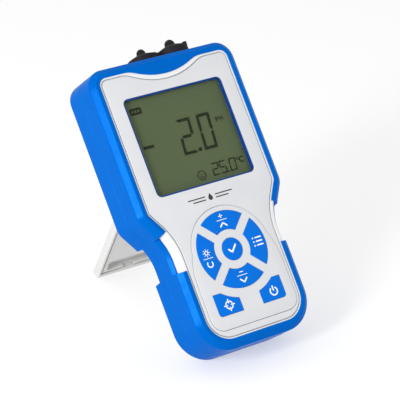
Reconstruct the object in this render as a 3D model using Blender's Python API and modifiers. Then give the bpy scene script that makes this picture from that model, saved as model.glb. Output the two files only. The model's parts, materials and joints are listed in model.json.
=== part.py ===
"""Handheld pH meter in a rubber sleeve, leaning back on its open kickstand.

Every piece is drawn lying face up: x across the meter, y from its foot to its sockets, z from
its back (0) to its front. The empty "meter" then tilts the whole meter back onto its kickstand.
Sizes are in millimetres, and the helpers turn them into metres.
"""

import math

import bmesh
import bpy
from mathutils import Matrix

MM = 0.001
GAP = 0.3  # clearance between pieces that rest on each other

# --- driving sizes of the meter ---------------------------------------------------------
LENGTH = 170.0
DEPTH = 30.0
HEAD_HALF = 48.5
GRIP_HALF = 37.6
FOOT_RADIUS = 19.5
TOP_RADIUS = 10.5
NECK_START = 56.0
NECK_HOLLOW_RADIUS = 32.0
NECK_SHOULDER_RADIUS = 10.0
NECK_TURN = math.radians(32)

# --- stance on the table ----------------------------------------------------------------
LEAN = math.radians(51.5)  # angle between the meter's back and the table
OPEN_ANGLE = math.radians(64.3)  # angle between the open kickstand and the meter's back
SLEEVE_SOLE = 0.35  # how far the sleeve's lowest edge is flattened by the table
ORIGIN_Y = -50.3  # puts the origin under the middle of the meter's footprint

# --- sleeve -----------------------------------------------------------------------------
SLEEVE_WALL = 2.2
SLEEVE_CHAMFER = 2.8
BACK_CHAMFER = 1.2
LIP_INSET = 5.3  # the lip's inner edge, inwards from the sleeve's outline
NOTCH_Y = (49.0, 70.0)
NOTCH_Z = (7.2, 25.2)
SMILE_LOW = 159.0
SMILE_RADIUS = 44.0
SMILE_HALF = 22.5

# --- housing ----------------------------------------------------------------------------
HOUSING_INSET = SLEEVE_WALL + GAP
HOUSING_CHAMFER = 2.7
SHELL_WALL = 2.4
SHELL_Z = (0.3, 29.4)
BACK_RIM_Z = 17.9
FRONT_RIM_Z = 19.2
CEILING_Z = 25.3
REBATE_Z = 27.5
BACK_SKIN = 2.4
HOUSING_SCREWS = ((-37.0, 158.5), (37.0, 158.5), (-26.0, 12.5), (26.0, 12.5))
BOARD_SCREWS = ((-38.0, 94.0), (38.0, 94.0), (-38.0, 148.0), (38.0, 148.0))
DOOR_SCREWS = ((0.0, 24.0), (0.0, 86.0))
GASKET_INSET = (2.9, 4.5)
GASKET_Z = (18.2, 18.9)

# --- face -------------------------------------------------------------------------------
PLATE_INSET = 6.7
PLATE_Z = (29.7, 30.3)
PLATE_SMILE_DROP = 2.6
WINDOW_X = 32.9
WINDOW_Y = (91.6, 149.7)
WINDOW_RADIUS = 3.2
VIEW_X = 31.4
VIEW_Y = (92.6, 148.4)
LENS_Z = (28.7, 30.0)
MASK_Z = (27.9, 28.4)
LCD_Z = (24.9, 27.2)
BACKLIGHT_Z = (22.4, 24.6)
BOARD_Z = (20.6, 22.0)

# --- keypad -----------------------------------------------------------------------------
PAD_CENTRE_Y = 52.8
PAD_RADIUS = 25.3
PAD_HALF = 28.8
PAD_FOOT_Y = 10.8
PAD_CORNER = 7.5
BEZEL_Z = (27.6, 30.6)
LEDGE = 1.2
RING_OUTER = 22.4
RING_INNER = 11.5
OK_RADIUS = 6.5
RING_GAP_HALF = 2.65
CORNER_KEY_X = (6.8, 22.6)
CORNER_KEY_Y = (18.5, 31.2)
CORNER_KEY_SCOOP = 27.7
KEY_TOP_Z = 30.8
KEY_FLANGE_Z = (26.1, 27.3)
KEY_FLANGE = 0.8
KEY_SLOT = 0.25
KEY_FOOT_Z = 23.6
KEY_STEM_RADIUS = 2.2
DOME_SHEET_Z = (22.3, 22.6)
DOME_HEIGHT = 0.35

# --- kickstand --------------------------------------------------------------------------
HINGE_Y = 122.0
HINGE_Z = 3.4
STAND_THICK = 6.0
STAND_LENGTH = 106.5
STAND_FOOT_HALF = 21.5
STAND_HINGE_HALF = 18.0
STAND_RIM = 1.4
STAND_PANEL_FROM_FOOT = (3.0, STAND_LENGTH - 8)
STAND_PANEL_DEPTH = 1.2
POCKET_X = 16.0
POCKET_FROM_FOOT = (4.0, 13.0)
POCKET_DEPTH = 4.0
THUMB_NOTCH_HALF = 4.0
PIN_RADIUS = 1.0
PIN_HALF = 21.5
PIN_BORE = PIN_RADIUS + GAP
RECESS_Z = 6.8
RECESS_SIDE_GAP = 0.6
SCOOP_RADIUS = 9.0
SCOOP_HALF = 9.0
SCOOP_Z = -3.0

# --- batteries --------------------------------------------------------------------------
BAY_HALF = 17.2
BAY_Y = (28.0, 81.5)
BAY_WALL = 1.5
BAY_ROOF_Z = (19.5, 20.3)
DOOR_HALF = 19.0
DOOR_Y = (20.6, 89.4)
DOOR_Z = (6.9, 8.3)
DOOR_LEDGE_Z = 10.4
CELL_RADIUS = 5.15
CELL_Y = (34.9, 78.3)
CELL_PITCH = 11.1
CELL_Z = 13.95
SPRING_TURNS = 3
SPRING_SIDES = 8
SPRING_RADIUS = 2.8
SPRING_Y = (30.1, 34.2)

# --- sockets and dust caps --------------------------------------------------------------
SOCKET_Z = 11.0
BNC_X = 20.9
TEMP_X = 0.7
SOCKET_DEPTH = 9.0  # how far a socket's barrel reaches inside the top wall
NUT_THICK = 2.0
LEAD_RADIUS = 0.8
LEAD_BEND = (6.0, 9.1)  # how far a lead runs back from its socket, and up to the board
CAP_RADIUS = 9.6
CAP_FOOT_Y = 170.4
CAP_SLOPE = 2.2
SLEEVE_PORT_RADIUS = 7.6

BLUE = (0.0, 0.17, 0.75)
WHITE = (0.83, 0.83, 0.82)
SILVER = (0.66, 0.67, 0.69)
BLACK = (0.012, 0.012, 0.013)


# --- helpers ----------------------------------------------------------------------------
def clear_scene():
    for obj in list(bpy.data.objects):
        bpy.data.objects.remove(obj)


def collection(name, hidden=False):
    group = bpy.data.collections.new(name)
    group.hide_render = hidden
    bpy.context.scene.collection.children.link(group)
    return group


clear_scene()
PARTS = collection("ph_meter")
CUTTERS = collection("cutters", hidden=True)
METER = bpy.data.objects.new("meter", None)
STAND_HINGE = bpy.data.objects.new("stand_hinge", None)


def material(name, colour, roughness=0.45, metallic=0.0):
    found = bpy.data.materials.get(name)
    if found:
        return found
    made = bpy.data.materials.new(name)
    made.use_nodes = True
    shader = made.node_tree.nodes["Principled BSDF"]
    shader.inputs["Base Color"].default_value = (*colour, 1.0)
    shader.inputs["Roughness"].default_value = roughness
    shader.inputs["Metallic"].default_value = metallic
    return made


def finish_mesh(name, bm, look=None, parent=None):
    """A new object from bm, in the parts if it has a look and in the cutters if it hasn't."""
    bmesh.ops.recalc_face_normals(bm, faces=bm.faces)
    bmesh.ops.scale(bm, vec=(MM, MM, MM), verts=bm.verts)
    mesh = bpy.data.meshes.new(name)
    bm.to_mesh(mesh)
    bm.free()
    obj = bpy.data.objects.new(name, mesh)
    obj.parent = parent or METER
    if look:
        mesh.materials.append(look)
        mesh.shade_smooth()
        mesh.set_sharp_from_angle(angle=math.radians(35))
        PARTS.objects.link(obj)
    else:
        obj.hide_render = True
        obj.display_type = "WIRE"
        CUTTERS.objects.link(obj)
    return obj


def slab(name, outline, low, high, look=None, top=0.0, bottom=0.0, parent=None):
    """A plate of this outline from z low to z high, its top and bottom rims chamfered."""
    bm = bmesh.new()
    face = bm.faces.new([bm.verts.new((x, y, low)) for x, y in outline])
    grown = bmesh.ops.extrude_face_region(bm, geom=[face])
    raised = [v for v in grown["geom"] if isinstance(v, bmesh.types.BMVert)]
    bmesh.ops.translate(bm, verts=raised, vec=(0, 0, high - low))
    for size, level in ((top, high), (bottom, low)):
        if size:
            rim = [e for e in bm.edges if all(abs(v.co.z - level) < 1e-4 for v in e.verts)]
            bmesh.ops.bevel(bm, geom=rim, offset=size, segments=1, affect="EDGES")
    return finish_mesh(name, bm, look, parent)


def box(name, low, high, look=None, parent=None):
    bm = bmesh.new()
    size = [b - a for a, b in zip(low, high)]
    centre = [(a + b) / 2 for a, b in zip(low, high)]
    shape = Matrix.Translation(centre) @ Matrix.Diagonal((*size, 1.0))
    bmesh.ops.create_cube(bm, size=1.0, matrix=shape)
    return finish_mesh(name, bm, look, parent)


AXIS_TURN = {
    "x": Matrix.Rotation(math.pi / 2, 4, "Y"),
    "y": Matrix.Rotation(-math.pi / 2, 4, "X"),
    "z": Matrix.Identity(4),
}


def rod(name, centre, radius, low, high, look=None, axis="z", sides=24, end_radius=None, parent=None):
    """A round bar along an axis from low to high. centre gives its other two coordinates."""
    bm = bmesh.new()
    middle = (low + high) / 2
    place = {
        "x": (middle, centre[0], centre[1]),
        "y": (centre[0], middle, centre[1]),
        "z": (centre[0], centre[1], middle),
    }[axis]
    bmesh.ops.create_cone(
        bm,
        cap_ends=True,
        segments=sides,
        radius1=radius,
        radius2=radius if end_radius is None else end_radius,
        depth=high - low,
        matrix=Matrix.Translation(place) @ AXIS_TURN[axis],
    )
    return finish_mesh(name, bm, look, parent)


def turned(name, spot, profile, look):
    """A piece turned about y. profile runs from the axis down its outside and back: (radius, y)."""
    mesh = bpy.data.meshes.new(name)
    points = [(radius * MM, y * MM, 0) for radius, y in profile]
    mesh.from_pydata(points, [(i, i + 1) for i in range(len(points) - 1)], [])
    mesh.materials.append(look)
    obj = bpy.data.objects.new(name, mesh)
    obj.parent = METER
    obj.location = (spot[0] * MM, 0, spot[1] * MM)
    PARTS.objects.link(obj)
    screw = obj.modifiers.new("turn", "SCREW")
    screw.axis = "Y"
    screw.steps = screw.render_steps = 32
    screw.use_merge_vertices = True
    screw.merge_threshold = 0.00001
    screw.use_smooth_shade = True
    return obj


def wire(name, points, radius, look, parent=None):
    """A round wire through points, with closed ends."""
    line = bpy.data.curves.new(name, "CURVE")
    line.dimensions = "3D"
    line.bevel_depth = radius * MM
    line.bevel_resolution = 1
    line.use_fill_caps = True
    spline = line.splines.new("POLY")
    spline.points.add(len(points) - 1)
    for place, point in zip(spline.points, points):
        place.co = (*[c * MM for c in point], 1.0)
    line.materials.append(look)
    obj = bpy.data.objects.new(name, line)
    obj.parent = parent or METER
    PARTS.objects.link(obj)
    return obj


def combine(obj, other, operation):
    step = obj.modifiers.new(f"{operation.lower()}_{other.name}", "BOOLEAN")
    step.operation = operation
    step.solver = "EXACT"
    step.object = other


def cut(obj, *others):
    for other in others:
        combine(obj, other, "DIFFERENCE")


def join(obj, *others):
    for other in others:
        combine(obj, other, "UNION")


def arc(x, y, radius, start, end, steps):
    """Points on a circle from start to end, in radians, both ends included."""
    turns = [start + (end - start) * i / steps for i in range(steps + 1)]
    return [(x + radius * math.cos(t), y + radius * math.sin(t)) for t in turns]


def mirrored(half):
    """A right half that runs from the foot to the top, closed by its mirror image."""
    return half + [(-x, y) for x, y in reversed(half)]


def rounded_box(low, high, radius, steps=4):
    corners = (
        (high[0] - radius, low[1] + radius, -0.5),
        (high[0] - radius, high[1] - radius, 0.0),
        (low[0] + radius, high[1] - radius, 0.5),
        (low[0] + radius, low[1] + radius, 1.0),
    )
    points = []
    for x, y, turn in corners:
        start = turn * math.pi
        points += arc(x, y, radius, start, start + math.pi / 2, steps)
    return points


# --- outlines ---------------------------------------------------------------------------
def body_half(inset):
    """Right half of the meter's outline, moved inwards by inset. Its arcs keep their centres."""
    turn = NECK_TURN
    bulge = 1 - math.cos(turn)
    radii = NECK_HOLLOW_RADIUS + NECK_SHOULDER_RADIUS
    slope_x = HEAD_HALF - GRIP_HALF - radii * bulge
    shoulder_y = NECK_START + radii * math.sin(turn) + slope_x / math.tan(turn)
    foot = (GRIP_HALF - FOOT_RADIUS, FOOT_RADIUS, FOOT_RADIUS - inset)
    hollow = (GRIP_HALF + NECK_HOLLOW_RADIUS, NECK_START, NECK_HOLLOW_RADIUS + inset)
    shoulder = (HEAD_HALF - NECK_SHOULDER_RADIUS, shoulder_y, NECK_SHOULDER_RADIUS - inset)
    crown = (HEAD_HALF - TOP_RADIUS, LENGTH - TOP_RADIUS, TOP_RADIUS - inset)
    return (
        arc(*foot, -math.pi / 2, 0, 8)
        + arc(*hollow, math.pi, math.pi - turn, 5)
        + arc(*shoulder, -turn, 0, 4)
        + arc(*crown, 0, math.pi / 2, 6)
    )


def body_outline(inset):
    return mirrored(body_half(inset))


def smile(drop, half, steps):
    """The shallow arc that dips into the face's top edge, from the right to its middle."""
    radius = SMILE_RADIUS + drop
    y = SMILE_LOW + SMILE_RADIUS
    end = math.asin(half / radius)
    return arc(0, y, radius, -math.pi / 2 + end, -math.pi / 2, steps)


def smile_block(name, drop, low, high):
    """The region above the smile, between two levels."""
    right = smile(drop, SMILE_HALF + drop, 8)
    middle = right.pop()
    half = list(reversed(right)) + [(SMILE_HALF + drop, LENGTH + 8)]
    return slab(name, [middle] + mirrored(half), low, high)


def plate_outline():
    """The silver plate's outline: the meter's, moved inwards, with the smile in its top edge."""
    top_y = LENGTH - PLATE_INSET
    radius = SMILE_RADIUS + PLATE_SMILE_DROP
    rise = SMILE_LOW + SMILE_RADIUS - top_y
    half = math.sqrt(radius**2 - rise**2)
    return mirrored(body_half(PLATE_INSET) + smile(PLATE_SMILE_DROP, half, 8)[:-1])


def pad_outline(grow):
    """The keypad's outline: a round head that widens into a foot with rounded corners."""
    side = PAD_HALF + grow
    head = arc(0, PAD_CENTRE_Y, PAD_RADIUS + grow, math.radians(12), math.pi / 2, 10)[:-1]
    corner = (PAD_HALF - PAD_CORNER, PAD_FOOT_Y + PAD_CORNER, PAD_CORNER + grow)
    foot = arc(*corner, -math.pi / 2, 0, 5)
    flank = [(side, 42.0), (side - 1.1, 50.0)]
    return mirrored(foot + flank + head)


def ring_key_outline(turn, grow=0.0):
    """One of the four ring keys. Its two straight sides lie along the ring's diagonals."""
    outer, inner = RING_OUTER + grow, RING_INNER - grow
    side = RING_GAP_HALF - grow
    outer_end = math.pi / 4 - math.asin(side / outer)
    inner_end = math.pi / 4 - math.asin(side / inner)
    points = arc(0, 0, outer, -outer_end, outer_end, 8) + arc(0, 0, inner, inner_end, -inner_end, 5)
    c, s = math.cos(turn), math.sin(turn)
    return [(x * c - y * s, x * s + y * c + PAD_CENTRE_Y) for x, y in points]


def corner_key_outline(side, grow=0.0):
    """A key in the pad's lower corner, scooped where it follows the ring. side is 1 or -1."""
    near, far = CORNER_KEY_X[0] - grow, CORNER_KEY_X[1] + grow
    low, high = CORNER_KEY_Y[0] - grow, CORNER_KEY_Y[1] + grow
    scoop = CORNER_KEY_SCOOP - grow
    start = math.asin(near / scoop)
    end = math.acos((PAD_CENTRE_Y - high) / scoop)
    inner = arc(0, PAD_CENTRE_Y, scoop, end - math.pi / 2, start - math.pi / 2, 5)
    corner = arc(far - 2, low + 2, 2, -math.pi / 2, 0, 3)
    points = [(near, low)] + corner + [(far, high)] + inner
    return points if side > 0 else [(-x, y) for x, y in reversed(points)]


def ok_key_outline(grow=0.0):
    return arc(0, PAD_CENTRE_Y, OK_RADIUS + grow, 0, 2 * math.pi, 24)[:-1]


KEYS = {
    "key_ok": (ok_key_outline, (0.0, PAD_CENTRE_Y)),
    "key_up": (lambda grow=0.0: ring_key_outline(math.pi / 2, grow), (0.0, PAD_CENTRE_Y + 17)),
    "key_mode": (lambda grow=0.0: ring_key_outline(0.0, grow), (17.0, PAD_CENTRE_Y)),
    "key_down": (lambda grow=0.0: ring_key_outline(-math.pi / 2, grow), (0.0, PAD_CENTRE_Y - 17)),
    "key_light": (lambda grow=0.0: ring_key_outline(math.pi, grow), (-17.0, PAD_CENTRE_Y)),
    "key_cal": (lambda grow=0.0: corner_key_outline(-1, grow), (-15.0, 23.0)),
    "key_power": (lambda grow=0.0: corner_key_outline(1, grow), (15.0, 23.0)),
}


# --- looks ------------------------------------------------------------------------------
RUBBER_BLUE = material("rubber_blue", BLUE, 0.4)
ABS_WHITE = material("abs_white", WHITE, 0.4)
PAINT_SILVER = material("paint_silver", SILVER, 0.35, 0.3)
RUBBER_BLACK = material("rubber_black", BLACK, 0.6)
KEY_BLUE = material("key_blue", BLUE, 0.35)
STEEL = material("steel", (0.6, 0.6, 0.6), 0.3, 1.0)
BRASS = material("brass", (0.7, 0.5, 0.2), 0.3, 1.0)
CLEAR = material("clear_acrylic", (0.9, 0.95, 0.95), 0.05)
MASK_INK = material("mask_ink", (0.01, 0.05, 0.25), 0.4)
LCD_GLASS = material("lcd_glass", (0.11, 0.14, 0.07), 0.25)
DIFFUSER = material("diffuser", (0.8, 0.85, 0.7), 0.5)
BOARD_GREEN = material("board_green", (0.02, 0.2, 0.06), 0.4)
INSULATOR = material("insulator", (0.85, 0.85, 0.8), 0.5)
CELL_WRAP = material("cell_wrap", (0.05, 0.05, 0.06), 0.35)


# --- sleeve -----------------------------------------------------------------------------
def housing_form(name, inset, low, high, chamfer, look=None):
    return slab(name, body_outline(inset), low, high, look, top=chamfer, bottom=chamfer)


def build_sleeve():
    sleeve = slab(
        "sleeve",
        body_outline(0),
        0,
        DEPTH,
        RUBBER_BLUE,
        top=SLEEVE_CHAMFER,
        bottom=BACK_CHAMFER,
    )
    reach = 0.5
    chamfer = LIP_INSET - SLEEVE_WALL + reach
    cavity = housing_form("sleeve_cavity", SLEEVE_WALL, -reach, DEPTH + reach, chamfer)
    cut(cavity, smile_block("sleeve_smile", 0, REBATE_Z + GAP, DEPTH + 3))
    cut(sleeve, cavity)
    reach_x = HEAD_HALF + 2
    for name, low, high in (
        ("front_notch", NOTCH_Z[1], DEPTH + 1),
        ("back_notch", -1, NOTCH_Z[0]),
    ):
        cut(sleeve, box(name, (-reach_x, NOTCH_Y[0], low), (reach_x, NOTCH_Y[1], high)))
    for name, x in (("bnc_port", BNC_X), ("temp_port", TEMP_X)):
        cut(sleeve, rod(name, (x, SOCKET_Z), SLEEVE_PORT_RADIUS, 160, 175, axis="y"))
    return sleeve


# --- housing ----------------------------------------------------------------------------
def screw_holes(name, radius, low, high, places=HOUSING_SCREWS, sides=16):
    return [
        rod(f"{name}_{i}", place, radius, low, high, sides=sides)
        for i, place in enumerate(places)
    ]


def build_front_shell():
    shell = slab(
        "front_shell",
        body_outline(HOUSING_INSET),
        FRONT_RIM_Z,
        SHELL_Z[1],
        ABS_WHITE,
        top=HOUSING_CHAMFER,
    )
    inner = body_outline(HOUSING_INSET + SHELL_WALL)
    cut(shell, slab("front_cavity", inner, FRONT_RIM_Z - 1, CEILING_Z))
    cut(shell, smile_block("front_smile", GAP, REBATE_Z, SHELL_Z[1] + 2))
    join(shell, *screw_holes("front_boss", 3.4, FRONT_RIM_Z, CEILING_Z + 1))
    cut(shell, *screw_holes("front_boss_bore", 1.4, FRONT_RIM_Z - 1, 25.0, sides=12))
    join(shell, *screw_holes("board_boss", 1.9, 22.3, CEILING_Z + 1, BOARD_SCREWS, 12))
    cut(shell, *screw_holes("board_boss_bore", 1.1, 20.0, 25.0, BOARD_SCREWS, 10))
    pocket = rounded_box(
        (-WINDOW_X - GAP, WINDOW_Y[0] - GAP), (WINDOW_X + GAP, WINDOW_Y[1] + GAP), WINDOW_RADIUS
    )
    cut(shell, slab("lens_pocket", pocket, MASK_Z[0] - GAP, SHELL_Z[1] + 2))
    view = ((-VIEW_X - 0.5, VIEW_Y[0] - 0.5), (VIEW_X + 0.5, VIEW_Y[1] + 0.5))
    cut(shell, slab("view_opening", rounded_box(*view, 1.5), CEILING_Z - 2, SHELL_Z[1]))
    cut(shell, slab("bezel_pocket", pad_outline(GAP), BEZEL_Z[0] - GAP, SHELL_Z[1] + 2))
    cut(shell, slab("keypad_opening", pad_outline(-LEDGE), CEILING_Z - 2, SHELL_Z[1]))
    return shell


def recess_outline(grow):
    """The kickstand's place in the back, a little wider at its foot than at its hinge."""
    top_y = HINGE_Y + STAND_THICK / 2 + grow
    foot_y = HINGE_Y - STAND_LENGTH - grow
    return mirrored([(STAND_FOOT_HALF + grow, foot_y), (STAND_HINGE_HALF + grow, top_y)])


def build_back_shell():
    shell = slab(
        "back_shell",
        body_outline(HOUSING_INSET),
        SHELL_Z[0],
        BACK_RIM_Z,
        ABS_WHITE,
        bottom=HOUSING_CHAMFER,
    )
    inner = body_outline(HOUSING_INSET + SHELL_WALL)
    cavity = slab("back_cavity", inner, SHELL_Z[0] + BACK_SKIN, BACK_RIM_Z + 1)
    skin = 1.8
    scoop = (HINGE_Y - STAND_LENGTH - 1, SCOOP_Z)
    keep = slab("recess_keep", recess_outline(RECESS_SIDE_GAP + skin), -1, RECESS_Z + skin)
    reach = (SCOOP_RADIUS + skin, -SCOOP_HALF - skin, SCOOP_HALF + skin)
    scoop_keep = rod("scoop_keep", scoop, *reach, axis="x", sides=32)
    ledge = (
        (-DOOR_HALF - 2.5, DOOR_Y[0] - 2.1, RECESS_Z),
        (DOOR_HALF + 2.5, DOOR_Y[1] + 2.6, DOOR_LEDGE_Z),
    )
    cut(cavity, keep, scoop_keep, box("door_ledge", *ledge))
    cut(shell, cavity)
    bay_low = (-BAY_HALF - BAY_WALL, BAY_Y[0] - BAY_WALL, RECESS_Z + 1)
    bay_high = (BAY_HALF + BAY_WALL, BAY_Y[1] + BAY_WALL, BAY_ROOF_Z[1])
    join(shell, box("bay_block", bay_low, bay_high))
    join(shell, *screw_holes("back_boss", 4.2, SHELL_Z[0] + 1, BACK_RIM_Z))
    door_posts = screw_holes("door_post", 2.6, RECESS_Z + 0.5, 16.0, DOOR_SCREWS)
    join(shell, *door_posts)
    cut(shell, slab("stand_recess", recess_outline(RECESS_SIDE_GAP), -2, RECESS_Z))
    bay = ((-BAY_HALF, BAY_Y[0], RECESS_Z - 1), (BAY_HALF, BAY_Y[1], BAY_ROOF_Z[0]))
    cut(shell, box("battery_bay", *bay))
    door = door_outline(GAP)
    cut(shell, slab("door_seat", door, RECESS_Z - 1, DOOR_Z[1] + GAP))
    cut(shell, *screw_holes("door_screw_bore", 1.2, 6.0, 14.0, DOOR_SCREWS, 10))
    cut(shell, *screw_holes("screw_well", 3.1, -1, 4.4))
    cut(shell, *screw_holes("screw_bore", 1.5, 3, BACK_RIM_Z + 1, sides=12))
    bore = (PIN_BORE, -PIN_HALF - GAP, PIN_HALF + GAP)
    cut(shell, rod("pin_bore", (HINGE_Y, HINGE_Z), *bore, axis="x", sides=16))
    cut(shell, rod("thumb_scoop", scoop, SCOOP_RADIUS, -SCOOP_HALF, SCOOP_HALF, axis="x", sides=32))
    for name, x, radius in (("bnc_hole", BNC_X, 5.1), ("temp_hole", TEMP_X, 4.4)):
        cut(shell, rod(name, (x, SOCKET_Z), radius, 160, 172, axis="y"))
    return shell


def build_gasket():
    outer, inner = GASKET_INSET
    gasket = slab("housing_gasket", body_outline(outer), *GASKET_Z, RUBBER_BLACK)
    cut(gasket, slab("gasket_inner", body_outline(inner), GASKET_Z[0] - 1, GASKET_Z[1] + 1))


def build_screw(name, place, head_low, head_high, shank_high, head=2.6, shank=1.1):
    """A pan-head screw pointing towards the front, with a crossed slot in its head."""
    screw = rod(name, place, head, head_low, head_high, STEEL, sides=20)
    join(screw, rod(f"{name}_shank", place, shank, head_high - 0.4, shank_high, sides=12))
    x, y = place
    for turn, (dx, dy) in enumerate(((1.6, 0.35), (0.35, 1.6))):
        low, high = (x - dx, y - dy, head_low - 1), (x + dx, y + dy, head_low + 0.9)
        cut(screw, box(f"{name}_slot_{turn}", low, high))


def build_screws():
    for i, place in enumerate(HOUSING_SCREWS):
        build_screw(f"housing_screw_{i + 1}", place, 1.8, 4.1, 24.0)
    for i, place in enumerate(DOOR_SCREWS):
        build_screw(f"door_screw_{i + 1}", place, 6.9, 7.7, 13.0, 2.1, 0.9)
    for i, place in enumerate(BOARD_SCREWS):
        build_screw(f"board_screw_{i + 1}", place, 18.8, 20.3, 24.5, 1.8, 0.8)


# --- face -------------------------------------------------------------------------------
def build_face():
    plate = slab("face_plate", plate_outline(), *PLATE_Z, PAINT_SILVER, top=0.3)
    window = rounded_box(
        (-WINDOW_X - GAP, WINDOW_Y[0] - GAP), (WINDOW_X + GAP, WINDOW_Y[1] + GAP), WINDOW_RADIUS
    )
    cut(plate, slab("plate_window", window, PLATE_Z[0] - 1, PLATE_Z[1] + 1))
    cut(plate, slab("plate_pad", pad_outline(GAP), PLATE_Z[0] - 1, PLATE_Z[1] + 1))

    bezel = slab("keypad_bezel", pad_outline(0), *BEZEL_Z, PAINT_SILVER, top=0.3)
    for name, (outline, _) in KEYS.items():
        hole = slab(f"{name}_hole", outline(KEY_SLOT), BEZEL_Z[0] - 1, BEZEL_Z[1] + 1)
        cut(bezel, hole)

    lens = rounded_box((-WINDOW_X, WINDOW_Y[0]), (WINDOW_X, WINDOW_Y[1]), WINDOW_RADIUS)
    slab("display_lens", lens, *LENS_Z, CLEAR)
    mask = slab("display_mask", lens, *MASK_Z, MASK_INK)
    view = rounded_box((-VIEW_X, VIEW_Y[0]), (VIEW_X, VIEW_Y[1]), 1.5)
    cut(mask, slab("mask_opening", view, MASK_Z[0] - 1, MASK_Z[1] + 1))


def build_key(name, outline, stem):
    """A key cap with a retaining flange under the bezel and a stem above its dome."""
    cap = slab(name, outline(), KEY_FLANGE_Z[0] + 0.4, KEY_TOP_Z, KEY_BLUE, top=0.2)
    join(cap, slab(f"{name}_flange", outline(KEY_FLANGE), *KEY_FLANGE_Z))
    foot = rod(f"{name}_stem", stem, KEY_STEM_RADIUS, KEY_FOOT_Z, KEY_FLANGE_Z[0] + 0.6, sides=16)
    join(cap, foot)


def build_keypad():
    for name, (outline, stem) in KEYS.items():
        build_key(name, outline, stem)
    sheet = slab(
        "dome_sheet", rounded_box((-25, 16.8), (25, 77), 3, 2), *DOME_SHEET_Z, RUBBER_BLACK
    )
    for name, (_, stem) in KEYS.items():
        top = DOME_SHEET_Z[1] + DOME_HEIGHT
        reach = (DOME_SHEET_Z[0] + 0.1, top)
        join(sheet, rod(f"{name}_dome", stem, 2.6, *reach, sides=12, end_radius=1.6))


# --- electronics ------------------------------------------------------------------------
def build_display():
    slab(
        "lcd_panel",
        rounded_box((-VIEW_X - 0.2, VIEW_Y[0] - 0.2), (VIEW_X + 0.2, VIEW_Y[1] + 0.2), 0.5, 1),
        *LCD_Z,
        LCD_GLASS,
    )
    box("lcd_backlight", (-31.3, 96.5, BACKLIGHT_Z[0]), (31.3, 146.4, BACKLIGHT_Z[1]), DIFFUSER)
    box("contact_strip", (-28, 93.2, 22.3), (28, 95.4, BACKLIGHT_Z[1]), RUBBER_BLACK)
    frame = box("lcd_frame", (-35.5, 88.6, 22.3), (35.5, 151.0, 25.0), ABS_WHITE)
    cut(frame, box("lcd_frame_opening", (-31.9, 92.1, 21), (31.9, 148.9, 27)))


def build_board():
    half = [(26.5, 16.4), (26.5, 90.5), (40.0, 90.5), (40.0, 152.0)]
    board = slab("main_board", mirrored(half), *BOARD_Z, BOARD_GREEN)
    cut(board, *screw_holes("board_screw_hole", 1.2, 19, 23, BOARD_SCREWS, 12))


def door_outline(grow):
    half = DOOR_HALF + grow
    return rounded_box((-half, DOOR_Y[0] - grow), (half, DOOR_Y[1] + grow), 2.0, 2)


def spring_route(x):
    """A coil spring's centre line, along y, between the foot's contact plate and a cell."""
    steps = SPRING_TURNS * SPRING_SIDES
    route = []
    for step in range(steps + 1):
        turn = 2 * math.pi * step / SPRING_SIDES
        y = SPRING_Y[0] + (SPRING_Y[1] - SPRING_Y[0]) * step / steps
        place = (x + SPRING_RADIUS * math.cos(turn), y, CELL_Z + SPRING_RADIUS * math.sin(turn))
        route.append(place)
    return route


def build_power():
    door = slab("battery_door", door_outline(0), *DOOR_Z, ABS_WHITE)
    cut(door, *screw_holes("door_head_well", 2.4, 6, 8.0, DOOR_SCREWS, 16))
    cut(door, *screw_holes("door_shank_hole", 1.2, 6, 10, DOOR_SCREWS, 12))
    plates = (("contact_plate_top", 80.0, 80.5), ("contact_plate_foot", 28.9, 29.4))
    for name, low, high in plates:
        box(name, (-16.5, low, 9.2), (16.5, high, 18.8), BRASS)
    for i in range(3):
        x = (i - 1) * CELL_PITCH
        cell = rod(f"battery_{i + 1}", (x, CELL_Z), CELL_RADIUS, *CELL_Y, CELL_WRAP, axis="y")
        nub = rod(f"battery_nub_{i + 1}", (x, CELL_Z), 1.9, CELL_Y[1] - 1, 79.5, axis="y", sides=12)
        join(cell, nub)
        wire(f"battery_spring_{i + 1}", spring_route(x), 0.35, STEEL)


# --- sockets and their dust caps --------------------------------------------------------
def build_socket(prefix, x, barrel, bore, nut, reach_y):
    """A panel socket through the top wall, with its nut outside, its insulator and its lead."""
    spot = (x, SOCKET_Z)
    wall_y = LENGTH - HOUSING_INSET
    inner_y = wall_y - SHELL_WALL - GAP
    foot_y = wall_y - SOCKET_DEPTH

    socket = rod(f"{prefix}_socket", spot, barrel, foot_y, reach_y, STEEL, axis="y")
    join(socket, rod(f"{prefix}_collar", spot, barrel + 1.6, inner_y - 2, inner_y, axis="y"))
    cut(socket, rod(f"{prefix}_bore", spot, bore, wall_y - 5, reach_y + 1, axis="y"))

    nut_y = (wall_y + GAP, wall_y + GAP + NUT_THICK)
    ring = rod(f"{prefix}_nut", spot, nut, *nut_y, STEEL, axis="y", sides=6)
    cut(ring, rod(f"{prefix}_nut_bore", spot, barrel + GAP, 160, 175, axis="y"))

    core_y = (wall_y - 5 + GAP, wall_y + 1)
    core = rod(f"{prefix}_insulator", spot, bore - GAP, *core_y, INSULATOR, axis="y")
    cut(core, rod(f"{prefix}_contact", spot, 0.8, wall_y - 2, wall_y + 3, axis="y", sides=10))

    turns = [math.pi / 2 * i / 6 for i in range(7)]
    run, rise = LEAD_BEND
    route = [
        (x, foot_y - GAP - run * math.sin(t), SOCKET_Z + rise - rise * math.cos(t)) for t in turns
    ]
    wire(f"{prefix}_lead", route, LEAD_RADIUS, RUBBER_BLACK)


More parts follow.
